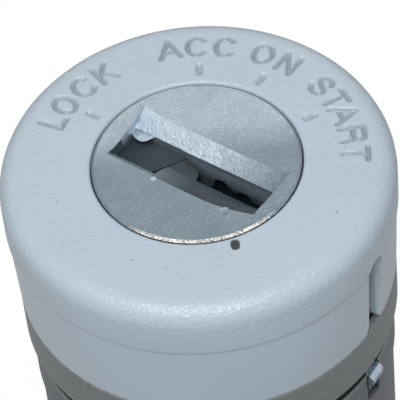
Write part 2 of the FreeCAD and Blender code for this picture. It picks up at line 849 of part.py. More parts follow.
pieces = {
    "bezel_cap": make_bezel_cap(),
    "bezel_pin": make_bezel_pin(),
    "lock_housing": make_lock_housing(),
    "thrust_washer": make_thrust_washer(),
    "plug": make_plug(),
    "shutter_pin": make_shutter_pin(),
    "shutter_flap": make_shutter_flap(),
    "shutter_spring": make_shutter_spring(),
    "drive_coupling": make_drive_coupling(),
    "coupling_pin": make_coupling_pin(),
    "return_spring": make_return_spring(),
    "rear_plate": make_rear_plate(),
    "plate_screws": make_plate_screws(),
    "detent_ball": make_detent_ball(),
    "detent_spring": make_detent_spring(),
    "detent_set_screw": make_detent_set_screw(),
    "retaining_latch": make_retaining_latch(),
    "latch_spring": make_latch_spring(),
}
for number in range(wafer_count):
    pieces["wafer_%d" % (number + 1)] = make_wafer(number)
    pieces["wafer_spring_%d" % (number + 1)] = make_wafer_spring(number)

os.makedirs("parts", exist_ok=True)
for name, shape in pieces.items():
    shape.exportStep("parts/" + name + ".step")
    solids = len(shape.Solids)
    print(name, "solids", solids, "valid", shape.isValid(), "volume %.1f" % shape.Volume)
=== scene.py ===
import json
from math import cos, pi, radians, sin

import bmesh
import bpy
import numpy as np
from mathutils import Matrix, Vector

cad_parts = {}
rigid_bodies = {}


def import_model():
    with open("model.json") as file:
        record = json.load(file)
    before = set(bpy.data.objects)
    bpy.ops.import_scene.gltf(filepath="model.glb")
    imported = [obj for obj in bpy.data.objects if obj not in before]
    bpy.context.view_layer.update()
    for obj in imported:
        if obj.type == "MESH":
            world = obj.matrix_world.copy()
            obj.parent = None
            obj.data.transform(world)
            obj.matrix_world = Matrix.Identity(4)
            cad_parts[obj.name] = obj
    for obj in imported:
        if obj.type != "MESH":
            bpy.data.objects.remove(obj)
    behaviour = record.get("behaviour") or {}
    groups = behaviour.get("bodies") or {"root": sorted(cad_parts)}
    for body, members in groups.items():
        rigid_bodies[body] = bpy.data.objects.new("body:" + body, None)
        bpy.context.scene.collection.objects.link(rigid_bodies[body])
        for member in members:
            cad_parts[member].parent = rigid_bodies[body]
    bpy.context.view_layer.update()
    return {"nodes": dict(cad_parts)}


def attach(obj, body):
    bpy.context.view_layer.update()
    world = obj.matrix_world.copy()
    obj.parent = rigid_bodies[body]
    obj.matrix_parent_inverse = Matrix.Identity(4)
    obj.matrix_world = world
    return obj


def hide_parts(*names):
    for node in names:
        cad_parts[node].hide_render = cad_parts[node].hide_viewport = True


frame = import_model()

# Housing. The body of the lock is a bare zinc alloy pressure die casting: the neck inside the cap, the ring
# and groove that show under it, the barrel and the rear flange are one piece. The bore is reamed, and the
# latch channel, guide groove and screw holes are cored or drilled.
overall = 66.0
lock_angle, slot_angle, detent_angle = -39.3, -34.5, 230.7
cap_pin_radius, cap_pin_depth, cap_pin_angle = 1.02, 9.0, 90
guide_angle = 90
detent_depth = 37.0
latch_half = 1.13
chamber_foot = 62.9
plate_screws_out, switch_screws_out = 13.2, 14.3
housing_outline = [
    (11.3, 3.0, 0), (15.8, 3.0, 0.2), (15.8, 13.88, 0), (17.6, 13.88, 0.08), (17.6, 18.65, 0.1),
    (16.5, 18.65, 0.1), (16.5, 19.15, 0.1), (17.2, 20.25, 0.25), (17.2, 25.0, 0.1), (17.0, 25.2, 0),
    (17.0, 41.0, 0.6), (14.2, 43.8, 0.8), (14.2, 56.0, 0.4), (17.0, 56.0, 0.5), (17.0, 66.0, 0.4),
    (12.1, 66.0, 0.12), (12.1, chamber_foot, 0), (10.6, chamber_foot, 0.1), (10.6, 44.0, 0), (9.06, 44.0, 0.1),
    (9.06, 5.66, 0), (11.3, 5.66, 0),
]


def height(depth):
    """Height in metres of a depth in mm below the lock's face."""
    return (overall - depth) / 1000


def linear(code):
    """A colour written as sRGB hex, as linear numbers."""
    parts = [int(code[i:i + 2], 16) / 255 for i in (1, 3, 5)]
    return tuple(p / 12.92 if p <= 0.04045 else ((p + 0.055) / 1.055) ** 2.4 for p in parts) + (1.0,)


def outlined(bm, points, place):
    """A closed wire through the points, each with its corner rounded by its last number."""
    corners = [bm.verts.new(place(a, b)) for a, b, _ in points]
    for start, end in zip(corners, corners[1:] + corners[:1]):
        bm.edges.new((start, end))
    for corner, (_, _, rounding) in zip(corners, points):
        if rounding:
            bmesh.ops.bevel(bm, geom=[corner], offset=rounding / 1000, offset_type="OFFSET",
                            segments=6, profile=0.5, affect="VERTICES", material=-1)


def turned(points, steps):
    """A ring turned round the lock's axis from an outline of (radius, depth, round) in mm."""
    bm = bmesh.new()
    outlined(bm, points, lambda radius, depth: (radius / 1000, 0, height(depth)))
    bmesh.ops.spin(bm, geom=bm.verts[:] + bm.edges[:], cent=(0, 0, 0), axis=(0, 0, 1), dvec=(0, 0, 0),
                   angle=2 * pi, steps=steps, use_merge=True)
    bmesh.ops.recalc_face_normals(bm, faces=bm.faces[:])
    return bm


def bar(points, start, end, turn):
    """A bar that lies outwards from start to end in mm, its section an outline of (across, depth, round)."""
    bm = bmesh.new()
    outlined(bm, points, lambda across, depth: (start / 1000, across / 1000, height(depth)))
    section = bmesh.ops.contextual_create(bm, geom=bm.edges[:])["faces"]
    grown = bmesh.ops.extrude_face_region(bm, geom=section)["geom"]
    moved = [item for item in grown if isinstance(item, bmesh.types.BMVert)]
    bmesh.ops.translate(bm, verts=moved, vec=((end - start) / 1000, 0, 0))
    bmesh.ops.recalc_face_normals(bm, faces=bm.faces[:])
    bmesh.ops.rotate(bm, verts=bm.verts[:], cent=(0, 0, 0), matrix=Matrix.Rotation(radians(turn), 3, "Z"))
    return bm


def block(across, top, bottom, start, end, turn):
    """A plain bar of one width."""
    points = [(-across, top, 0), (across, top, 0), (across, bottom, 0), (-across, bottom, 0)]
    return bar(points, start, end, turn)


def rod(radius, start, end, depth, turn, aside=0, sides=48):
    """A round bar that lies outwards at a depth, on the axis's line or to the side of it."""
    bm = bmesh.new()
    bmesh.ops.create_cone(bm, cap_ends=True, segments=sides, radius1=radius / 1000, radius2=radius / 1000,
                          depth=(end - start) / 1000)
    bmesh.ops.rotate(bm, verts=bm.verts[:], cent=(0, 0, 0), matrix=Matrix.Rotation(pi / 2, 3, "Y"))
    bmesh.ops.translate(bm, verts=bm.verts[:], vec=((start + end) / 2000, aside / 1000, height(depth)))
    bmesh.ops.rotate(bm, verts=bm.verts[:], cent=(0, 0, 0), matrix=Matrix.Rotation(radians(turn), 3, "Z"))
    return bm


def drill(radius, top, bottom, x, y):
    """A round bar along the lock's axis."""
    bm = bmesh.new()
    bmesh.ops.create_cone(bm, cap_ends=True, segments=48, radius1=radius / 1000, radius2=radius / 1000,
                          depth=(bottom - top) / 1000)
    bmesh.ops.translate(bm, verts=bm.verts[:], vec=(x / 1000, y / 1000, height((top + bottom) / 2)))
    return bm


def piece_from(bm, name, *materials):
    """A finished mesh as an object with its materials."""
    mesh = bpy.data.meshes.new(name)
    bm.to_mesh(mesh)
    bm.free()
    for material in materials:
        mesh.materials.append(material)
    piece = bpy.data.objects.new(name, mesh)
    bpy.context.scene.collection.objects.link(piece)
    return piece


def carve(piece, tools, operation="DIFFERENCE"):
    """Cuts shapes out of a piece, or joins them to it, all at once, and keeps the result as its mesh."""
    kept = bpy.data.collections.new("tools")
    for tool in tools:
        bm, *materials = tool if isinstance(tool, tuple) else (tool,)
        cutter = piece_from(bm, "tool", *materials)
        bpy.context.scene.collection.objects.unlink(cutter)
        kept.objects.link(cutter)
    bpy.context.scene.collection.children.link(kept)
    cut = piece.modifiers.new("cut", "BOOLEAN")
    cut.operation = operation
    cut.solver = "EXACT"
    cut.operand_type = "COLLECTION"
    cut.material_mode = "TRANSFER" if cutter.data.materials else "INDEX"
    cut.collection = kept
    settled(piece)
    for cutter in kept.objects[:]:
        bpy.data.meshes.remove(cutter.data)
    bpy.data.collections.remove(kept)


def settled(piece):
    """Applies a piece's modifiers to its mesh."""
    graph = bpy.context.evaluated_depsgraph_get()
    mesh = bpy.data.meshes.new_from_object(piece.evaluated_get(graph))
    piece.modifiers.clear()
    old, name = piece.data, piece.data.name
    piece.data = mesh
    bpy.data.meshes.remove(old)
    mesh.name = name


def smoothed(piece, angle=35):
    """Smooth faces with crisp edges where they meet at more than an angle."""
    piece.data.shade_smooth()
    piece.data.set_sharp_from_angle(angle=radians(angle))


def add_node(tree, kind, inputs=None, **settings):
    """Adds a node with its settings; an input is a value or the socket that feeds it."""
    made = tree.nodes.new(kind)
    for name, value in settings.items():
        setattr(made, name, value)
    for name, value in (inputs or {}).items():
        if isinstance(value, bpy.types.NodeSocket):
            tree.links.new(value, made.inputs[name])
        else:
            made.inputs[name].default_value = value
    return made


def started(name):
    """A new material, with its node tree, its shader and its object coordinates."""
    material = bpy.data.materials.new(name)
    material.use_nodes = True
    tree = material.node_tree
    place = add_node(tree, "ShaderNodeTexCoord").outputs["Object"]
    return material, tree, tree.nodes["Principled BSDF"], place


def per_metre(size):
    """Noise scale for a pattern of one size in mm."""
    return 1000 / size


# Die-cast zinc, as it leaves the die: a dull grey skin with a fine grain, darker on the barrel. The groove under
# the ring is painted near black, as painted shade under the ring's edge.
cast_zinc, tree, shader, place = started("die-cast zinc, as cast")
skin = add_node(tree, "ShaderNodeTexNoise", {"Vector": place, "Scale": per_metre(0.3), "Detail": 5.0,
                                             "Roughness": 0.7})
shade = add_node(tree, "ShaderNodeMix", {0: skin.outputs["Fac"], 6: linear("#55585A"), 7: linear("#A9ACAC")},
                 data_type="RGBA")
rough = add_node(tree, "ShaderNodeMapRange", {"Value": skin.outputs["Fac"], "To Min": 0.42, "To Max": 0.66})
grain = add_node(tree, "ShaderNodeBump", {"Height": skin.outputs["Fac"], "Strength": 0.8, "Distance": 0.00012})
level = add_node(tree, "ShaderNodeSeparateXYZ", {"Vector": place}).outputs["Z"]
under = add_node(tree, "ShaderNodeMapRange", {"Value": level, "From Min": height(20.28),
                                              "From Max": height(20.12)})
over = add_node(tree, "ShaderNodeMapRange", {"Value": level, "From Min": height(18.55), "From Max": height(18.7)})
painted_groove_shade = add_node(tree, "ShaderNodeMath", {0: under.outputs[0], 1: over.outputs[0]}, operation="MULTIPLY")
foot = add_node(tree, "ShaderNodeMapRange", {"Value": level, "From Min": height(20.9), "From Max": height(20.5)})
aged = add_node(tree, "ShaderNodeMix", {0: skin.outputs["Fac"], 6: linear("#56595C"), 7: linear("#8C8F92")},
                data_type="RGBA")
shade = add_node(tree, "ShaderNodeMix", {0: foot.outputs[0], 6: aged.outputs[2], 7: shade.outputs[2]},
                 data_type="RGBA")
# Painted shade: the groove under the ring is coloured near black for the shade of the ring's edge.
shade = add_node(tree, "ShaderNodeMix", {0: painted_groove_shade.outputs[0], 6: shade.outputs[2], 7: linear("#23272C")},
                 data_type="RGBA")
shader.inputs["Metallic"].default_value = 1.0
tree.links.new(shade.outputs[2], shader.inputs["Base Color"])
tree.links.new(rough.outputs[0], shader.inputs["Roughness"])
tree.links.new(grain.outputs[0], shader.inputs["Normal"])

housing = piece_from(turned(housing_outline, 240), "housing_casting", cast_zinc)
ribs = [block(4.0, 41.0, 56.3, side * 9.6, side * 15.6, lock_angle) for side in (-1, 1)]
carve(housing, ribs, "UNION")
wafer_grooves = [block(3.0, 12.7, 44.5, 8.0, 10.05, lock_angle + turn) for turn in (0, 180)]
guide_groove = block(1.5, 18.6, 43.8, 15.7, 19.0, guide_angle)
latch_channel = block(latch_half, 12.9, 24.5, 14.0, 16.88, slot_angle)
latch_window = block(latch_half, 18.95, 24.6, 13.8, 19.0, slot_angle)
latch_spring_pocket = rod(1.05, 11.2, 14.5, 22.2, slot_angle)
detent_hole = rod(1.55, 8.0, 18.0, detent_depth, detent_angle)
set_screw_hole = rod(2.0, 15.0, 18.2, detent_depth, detent_angle)
cap_pin_hole = rod(cap_pin_radius, 13.4, 17.0, cap_pin_depth, cap_pin_angle)
return_spring_slot = block(0.7, 51.0, chamber_foot, 9.6, 11.6, 0)
ear_seats = [block(3.0, chamber_foot, 67.0, 11.0, plate_screws_out, turn) for turn in (0, 180)]
ear_seats += [drill(3.0, chamber_foot, 67.1, side * plate_screws_out, 0) for side in (1, -1)]
plate_screw_holes = [drill(1.5, 57.4, 63.0, side * plate_screws_out, 0) for side in (1, -1)]
switch_screw_holes = [drill(1.25, 59.0, 67.0, 0, side * switch_screws_out) for side in (1, -1)]
carve(housing, [*wafer_grooves, guide_groove, latch_channel, latch_window, latch_spring_pocket, detent_hole,
                set_screw_hole, cap_pin_hole, return_spring_slot, *ear_seats, *plate_screw_holes,
                *switch_screw_holes])
smoothed(housing)
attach(housing, "housing")
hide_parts("lock_housing")

# Retaining latch. A bar of ground steel that sits in the channel under the cap's slot. A coil spring behind it
# pushes its nose out of the barrel, and it is pressed in through the slot to draw the lock out of its bore.
bright_steel, tree, shader, place = started("ground bright steel")
stretch = add_node(tree, "ShaderNodeMapping", {"Vector": place, "Scale": (1.0, 1.0, 0.5)})
lines = add_node(tree, "ShaderNodeTexNoise", {"Vector": stretch.outputs[0], "Scale": per_metre(0.3),
                                              "Detail": 4.0})
rough = add_node(tree, "ShaderNodeMapRange", {"Value": lines.outputs["Fac"], "To Min": 0.2, "To Max": 0.4})
marks = add_node(tree, "ShaderNodeBump", {"Height": lines.outputs["Fac"], "Strength": 1.0, "Distance": 0.00012})
shade = add_node(tree, "ShaderNodeMix", {0: lines.outputs["Fac"], 6: linear("#8496A6"), 7: linear("#C4D2DD")},
                 data_type="RGBA")
shader.inputs["Metallic"].default_value = 1.0
tree.links.new(shade.outputs[2], shader.inputs["Base Color"])
tree.links.new(rough.outputs[0], shader.inputs["Roughness"])
tree.links.new(marks.outputs[0], shader.inputs["Normal"])


def finish_nodes(material, *names):
    """Gives CAD nodes that stay as they are their material."""
    for name in names:
        for slot in frame["nodes"][name].material_slots:
            slot.material = material


finish_nodes(bright_steel, "retaining_latch", "detent_ball")

# Springs and washer. Music wire wound cold, with the faint draw lines and straw tint of its low-heat temper;
# the thrust washer is stamped from the same hard strip.
spring_wire, tree, shader, place = started("drawn spring steel wire")
tint = add_node(tree, "ShaderNodeTexNoise", {"Vector": place, "Scale": per_metre(0.8), "Detail": 2.0})
shade = add_node(tree, "ShaderNodeMix", {0: tint.outputs["Fac"], 6: linear("#8E8C86"), 7: linear("#B2B0AB")},
                 data_type="RGBA")
rough = add_node(tree, "ShaderNodeMapRange", {"Value": tint.outputs["Fac"], "To Min": 0.25, "To Max": 0.4})
shader.inputs["Metallic"].default_value = 1.0
tree.links.new(shade.outputs[2], shader.inputs["Base Color"])
tree.links.new(rough.outputs[0], shader.inputs["Roughness"])
springs = ["latch_spring", "detent_spring", "return_spring", "shutter_spring", "thrust_washer"]
springs += ["wafer_spring_%d" % number for number in range(1, 9)]
finish_nodes(spring_wire, *springs)

# Wafers. Eight tumblers stamped from half-hard brass strip, tumbled to take the burr off, each with its own
# window for the key's cut. They slide in the plug's slots.
stamped_brass, tree, shader, place = started("stamped brass strip")
dull = add_node(tree, "ShaderNodeTexNoise", {"Vector": place, "Scale": per_metre(1.2), "Detail": 3.0})
shade = add_node(tree, "ShaderNodeMix", {0: dull.outputs["Fac"], 6: linear("#9C7B3E"), 7: linear("#CBA968")},
                 data_type="RGBA")
rough = add_node(tree, "ShaderNodeMapRange", {"Value": dull.outputs["Fac"], "To Min": 0.28, "To Max": 0.45})
shader.inputs["Metallic"].default_value = 1.0
tree.links.new(shade.outputs[2], shader.inputs["Base Color"])
tree.links.new(rough.outputs[0], shader.inputs["Roughness"])
finish_nodes(stamped_brass, *["wafer_%d" % number for number in range(1, 9)])

# Plug. A zinc die casting, tumbled bright, with a sloped recess in its face that leads the key to the keyway,
# a flange under the cap, slots for the wafers and a flatted tail. It turns in the housing's bore.
plug_outline = [
    (0.3, 0, 0), (9.5, 0, 0.1), (9.5, 3.15, 0), (11.2, 3.15, 0.1), (11.2, 5.2, 0.1),
    (9.0, 5.2, 0), (9.0, 43.0, 0.4), (4.6, 43.0, 0), (4.6, 50.0, 0.3), (0.3, 50.0, 0),
]
recess_left, recess_right = -7.9, 8.0
far_top, far_foot, far_drop = 2.72, 1.30, 1.3
near_top, near_foot, near_drop = -2.95, -1.22, 1.05
pocket_left, pocket_near, pocket_floor = -7.75, -3.05, 10.3
keyway_half, keyway_floor = 1.1, 36.0
first_wafer, wafer_pitch, wafer_slot_half, wafer_half_width = 14.0, 2.6, 0.55, 2.65
detent_stops = (0, 57, 87)
lip_waves = [
    (7.4, 4.1), (5.7, 4.1), (5.1, 4), (4.68, 3.56), (4.3, 3.32), (3.77, 3.38), (3.06, 3.8), (2.64, 3.63),
    (2.2, 3.2), (1.9, 2.95), (1.2, 3.05), (0.9, 3.3), (0.6, 4.4), (0, 4.7), (-2.3, 4.7),
]

# The face is tumbled to a fine sparkle. Its far half is painted lighter and its near half darker, as painted
# light and shade; noise gives the clouds of tone, and the specks of a finer one are painted bright as glints.
tumbled_zinc, tree, shader, place = started("die-cast zinc, tumbled")
across = add_node(tree, "ShaderNodeSeparateXYZ", {"Vector": place}).outputs["Y"]
painted_light_ramp = add_node(tree, "ShaderNodeMapRange", {"Value": across, "From Min": 0.0005, "From Max": 0.004})
cloud = add_node(tree, "ShaderNodeTexNoise", {"Vector": place, "Scale": per_metre(2.5), "Detail": 6.0,
                                              "Roughness": 0.7})
peck = add_node(tree, "ShaderNodeTexNoise", {"Vector": place, "Scale": per_metre(0.18), "Detail": 4.0,
                                             "Roughness": 0.75})
dark = add_node(tree, "ShaderNodeMix", {0: cloud.outputs["Fac"], 6: linear("#778791"), 7: linear("#9AABB6")},
                data_type="RGBA")
pale = add_node(tree, "ShaderNodeMix", {0: cloud.outputs["Fac"], 6: linear("#98AAB5"), 7: linear("#C4D4DE")},
                data_type="RGBA")
# Painted light and shade: the face is coloured lighter on its far half and darker on its near half.
shade = add_node(tree, "ShaderNodeMix", {0: painted_light_ramp.outputs[0], 6: dark.outputs[2], 7: pale.outputs[2]},
                 data_type="RGBA")
# Painted highlights: specks of the fine noise are coloured bright as glints, brightest on the far half.
painted_glint_mask = add_node(tree, "ShaderNodeMapRange", {"Value": peck.outputs["Fac"], "From Min": 0.55, "From Max": 0.7})
painted_glint_colour = add_node(tree, "ShaderNodeMix", {0: painted_light_ramp.outputs[0], 6: linear("#BECCD5"), 7: linear("#FAFAFF")},
                   data_type="RGBA")
tone_with_painted_glints = add_node(tree, "ShaderNodeMix", {0: painted_glint_mask.outputs[0], 6: shade.outputs[2], 7: painted_glint_colour.outputs[2]},
                 data_type="RGBA")
rough = add_node(tree, "ShaderNodeMapRange", {"Value": peck.outputs["Fac"], "To Min": 0.2, "To Max": 0.5})
dents = add_node(tree, "ShaderNodeBump", {"Height": peck.outputs["Fac"], "Strength": 1.0, "Distance": 0.0003})
shader.inputs["Metallic"].default_value = 1.0
tree.links.new(tone_with_painted_glints.outputs[2], shader.inputs["Base Color"])
tree.links.new(rough.outputs[0], shader.inputs["Roughness"])
tree.links.new(dents.outputs[0], shader.inputs["Normal"])

# The far slope and the ends were torn a little as the core was drawn, so they are streaked and throw glints;
# the slope is painted darker towards its right end, as painted shade.
torn_zinc, tree, shader, place = started("die-cast zinc, drawn wall")
drawn = add_node(tree, "ShaderNodeMapping", {"Vector": place, "Scale": (1.0, 0.35, 1.0)}).outputs[0]
pull = add_node(tree, "ShaderNodeTexNoise", {"Vector": drawn, "Scale": per_metre(0.7), "Detail": 5.0,
                                             "Roughness": 0.7})
glint = add_node(tree, "ShaderNodeTexNoise", {"Vector": drawn, "Scale": per_metre(0.25), "Detail": 4.0,
                                              "Roughness": 0.7})
shade = add_node(tree, "ShaderNodeMix", {0: pull.outputs["Fac"], 6: linear("#8C9EAD"), 7: linear("#DCE9F2")},
                 data_type="RGBA")
along = add_node(tree, "ShaderNodeMapping", {"Vector": place, "Rotation": (0, 0, radians(-lock_angle))})
along = add_node(tree, "ShaderNodeSeparateXYZ", {"Vector": along.outputs[0]}).outputs["X"]
# Painted shade: the slope is coloured darker towards its right end.
painted_light_ramp = add_node(tree, "ShaderNodeMapRange", {"Value": along, "From Min": 0.0005, "From Max": 0.008,
                                               "To Max": 0.95})
shade = add_node(tree, "ShaderNodeMix", {0: painted_light_ramp.outputs[0], 6: shade.outputs[2], 7: linear("#6B7C88")},
                 data_type="RGBA")
rough = add_node(tree, "ShaderNodeMapRange", {"Value": glint.outputs["Fac"], "To Min": 0.3, "To Max": 0.6})
dents = add_node(tree, "ShaderNodeBump", {"Height": glint.outputs["Fac"], "Strength": 1.0, "Distance": 0.00025})
shader.inputs["Metallic"].default_value = 1.0
tree.links.new(shade.outputs[2], shader.inputs["Base Color"])
tree.links.new(rough.outputs[0], shader.inputs["Roughness"])
tree.links.new(dents.outputs[0], shader.inputs["Normal"])

# The near slope, the shutter pocket's lip and the keyway are dark with old grease and key dust, and coloured
# darker still as painted shade of the back-facing slope; towards the left end the colour is lighter.
greased_and_shaded_zinc, tree, shader, place = started("die-cast zinc, greased, with painted shade")
film = add_node(tree, "ShaderNodeTexNoise", {"Vector": place, "Scale": per_metre(1.2), "Detail": 5.0,
                                             "Roughness": 0.65})
speck = add_node(tree, "ShaderNodeTexNoise", {"Vector": place, "Scale": per_metre(0.4), "Detail": 3.0})
# Partly painted shade: these dark tones stand for grease and for the shade on the near slope.
shade = add_node(tree, "ShaderNodeMix", {0: film.outputs["Fac"], 6: linear("#222B32"), 7: linear("#414E57")},
                 data_type="RGBA")
along = add_node(tree, "ShaderNodeMapping", {"Vector": place, "Rotation": (0, 0, radians(-lock_angle))})
along = add_node(tree, "ShaderNodeSeparateXYZ", {"Vector": along.outputs[0]}).outputs["X"]
lighter_to_left = add_node(tree, "ShaderNodeMapRange", {"Value": along, "From Min": 0.0012, "From Max": -0.0025,
                                              "To Max": 0.75})
shade = add_node(tree, "ShaderNodeMix", {0: lighter_to_left.outputs[0], 6: shade.outputs[2], 7: linear("#6B7B86")},
                 data_type="RGBA")
dents = add_node(tree, "ShaderNodeBump", {"Height": speck.outputs["Fac"], "Strength": 0.8, "Distance": 0.0001})
shader.inputs["Metallic"].default_value = 0.6
shader.inputs["Roughness"].default_value = 0.42
tree.links.new(shade.outputs[2], shader.inputs["Base Color"])
tree.links.new(dents.outputs[0], shader.inputs["Normal"])

# The key wipes the walls of the throat and the shutter pocket clean, so they are lighter; lower down they are
# painted darker, as painted shade deep in the recess.
wiped_zinc, tree, shader, place = started("die-cast zinc, wiped by the key")
film = add_node(tree, "ShaderNodeTexNoise", {"Vector": place, "Scale": per_metre(0.9), "Detail": 5.0,
                                             "Roughness": 0.65})
shade = add_node(tree, "ShaderNodeMix", {0: film.outputs["Fac"], 6: linear("#7B8C9C"), 7: linear("#AFC0CE")},
                 data_type="RGBA")
level = add_node(tree, "ShaderNodeSeparateXYZ", {"Vector": place}).outputs["Z"]
# Painted shade: the walls are coloured darker with depth below the face.
painted_depth_shade = add_node(tree, "ShaderNodeMapRange", {"Value": level, "From Min": height(2.9), "From Max": height(3.5),
                                             "To Max": 0.6})
shade = add_node(tree, "ShaderNodeMix", {0: painted_depth_shade.outputs[0], 6: shade.outputs[2], 7: linear("#343E46")},
                 data_type="RGBA")
dents = add_node(tree, "ShaderNodeBump", {"Height": film.outputs["Fac"], "Strength": 0.6, "Distance": 0.0001})
shader.inputs["Metallic"].default_value = 0.8
shader.inputs["Roughness"].default_value = 0.5
tree.links.new(shade.outputs[2], shader.inputs["Base Color"])
tree.links.new(dents.outputs[0], shader.inputs["Normal"])

# The edge of the face is burnished by the cap's hole; at the front it carries a painted, glittering highlight.
burnished_and_highlit_zinc, tree, shader, place = started("die-cast zinc, burnished edge with painted highlight")
grit = add_node(tree, "ShaderNodeTexNoise", {"Vector": place, "Scale": per_metre(0.25), "Detail": 4.0,
                                             "Roughness": 0.7})
painted_front_highlight = add_node(tree, "ShaderNodeSeparateXYZ", {"Vector": place}).outputs["Y"]
painted_front_highlight = add_node(tree, "ShaderNodeMapRange", {"Value": painted_front_highlight, "From Min": -0.0066, "From Max": -0.0082})
broken = add_node(tree, "ShaderNodeMapRange", {"Value": grit.outputs["Fac"], "From Min": 0.38, "From Max": 0.6})
# Painted highlight: the front of the edge is coloured bright in broken specks, as the lamp's glint.
painted_highlight_colour = add_node(tree, "ShaderNodeMix", {0: broken.outputs[0], 6: linear("#84898A"), 7: linear("#F2EFE6")},
                  data_type="RGBA")
shade = add_node(tree, "ShaderNodeMix", {0: painted_front_highlight.outputs[0], 6: linear("#7C8A92"), 7: painted_highlight_colour.outputs[2]},
                 data_type="RGBA")
rough = add_node(tree, "ShaderNodeMapRange", {"Value": grit.outputs["Fac"], "To Min": 0.2, "To Max": 0.5})
dents = add_node(tree, "ShaderNodeBump", {"Height": grit.outputs["Fac"], "Strength": 1.0, "Distance": 0.0002})
shader.inputs["Metallic"].default_value = 1.0
tree.links.new(shade.outputs[2], shader.inputs["Base Color"])
tree.links.new(rough.outputs[0], shader.inputs["Roughness"])
tree.links.new(dents.outputs[0], shader.inputs["Normal"])


def shifted(bm, cuts, by):
    """Divides a bar along the recess and shifts each point of it across by a rule of (along, across, depth)."""
    frame_in = Matrix.Rotation(radians(-lock_angle), 3, "Z")
    frame_out = Matrix.Rotation(radians(lock_angle), 3, "Z")
    bmesh.ops.rotate(bm, verts=bm.verts[:], cent=(0, 0, 0), matrix=frame_in)
    for place in cuts:
        bmesh.ops.bisect_plane(bm, geom=bm.verts[:] + bm.edges[:] + bm.faces[:], plane_co=(place / 1000, 0, 0),
                               plane_no=(1, 0, 0), dist=1e-8)
    for point in bm.verts:
        along, across = by(point.co.x * 1000, point.co.y * 1000, overall - point.co.z * 1000)
        point.co.x += along / 1000
        point.co.y += across / 1000
    bmesh.ops.triangulate(bm, faces=bm.faces[:])
    bmesh.ops.rotate(bm, verts=bm.verts[:], cent=(0, 0, 0), matrix=frame_out)
    return bm


def far_edge(u, v, depth):
    """The far slope's top edge bows away from the middle, and the left end stands a little askew."""
    bow, askew = 0.885, 0.4
    if v > 2 and depth < 0:
        return 0, bow * abs(u / recess_right) ** 4
    if u < -7.5 and v < 0:
        return askew, 0
    return 0, 0


def near_edge(u, v, depth):
    """The near edge runs in towards the right end."""
    run_in, straight = 0.95, 2.5
    if v < -2.5 and u > straight:
        return 0, run_in * ((u - straight) / (recess_right - straight)) ** 2
    return 0, 0


far_run = (far_top - far_foot) / far_drop
mouth = shifted(bar([(far_top + far_run, -1, 0), (far_foot, far_drop, 0), (-1.2, far_drop, 0), (-1.2, -1, 0)],
                    recess_left, recess_right, lock_angle), [2.0 * k - 7 for k in range(8)], far_edge)
strip = shifted(bar([(-1.0, -1, 0), (-1.0, near_drop, 0), (near_foot, near_drop, 0), (near_top, 0.03, 0.68),
                     (-4.0, -0.03, 0), (-4.0, -1, 0)], -2.5, 7.95, lock_angle),
                [1.0 * k - 2 for k in range(10)], near_edge)
pocket_lip = bar([(-0.9, -1, 0), (-0.9, 3.0, 0), (-3.0, 3.0, 0), (-3.0, 0.05, 0.3), (-3.7, -0.03, 0),
                  (-3.7, -1, 0)], -7.45, -2.4, lock_angle)
left_bevel = bar([(8.2, -0.1, 0), (8.2, -0.02, 0), (7.85, 0.14, 0.05), (7.3, 0.14, 0), (7.3, -0.1, 0)],
                 -2.85, 2.9, lock_angle + 90)
throat = bar([(1.28, 1.1, 0), (1.40, 1.9, 0), (1.26, 2.25, 0), (1.26, 10.5, 0), (-1.25, 10.5, 0),
              (-1.25, 0.9, 0)], -2.7, 7.6, lock_angle)
pocket = bar([(1.33, 1.15, 0), (1.43, 1.95, 0), (1.3, 2.3, 0), (1.3, pocket_floor, 0),
              (pocket_near, pocket_floor, 0), (pocket_near, 1.15, 0)], pocket_left, -2.55, lock_angle)
chamber = bar([(-u, depth, 0) for u, depth in lip_waves] + [(2.3, 10.2, 0), (-7.4, 10.2, 0)], -2.0, 2.0,
              lock_angle + 90)
keyway = bar([(keyway_half, 9.5, 0), (keyway_half, keyway_floor, 0), (-keyway_half, keyway_floor, 0),
              (-keyway_half, 9.5, 0)], -2.2, 7.2, lock_angle)
cuts = [(mouth, torn_zinc), (left_bevel, tumbled_zinc), (strip, greased_and_shaded_zinc), (pocket_lip, greased_and_shaded_zinc),
        (pocket, wiped_zinc), (throat, wiped_zinc), (chamber, greased_and_shaded_zinc), (keyway, greased_and_shaded_zinc)]


def ball(radius, out, aside, depth, turn, subdivisions):
    """A ball at a place out from the axis and to the side of that line, at a depth."""
    bm = bmesh.new()
    bmesh.ops.create_icosphere(bm, subdivisions=subdivisions, radius=radius / 1000)
    bmesh.ops.translate(bm, verts=bm.verts[:], vec=(out / 1000, aside / 1000, height(depth)))
    bmesh.ops.rotate(bm, verts=bm.verts[:], cent=(0, 0, 0), matrix=Matrix.Rotation(radians(turn), 3, "Z"))
    return bm


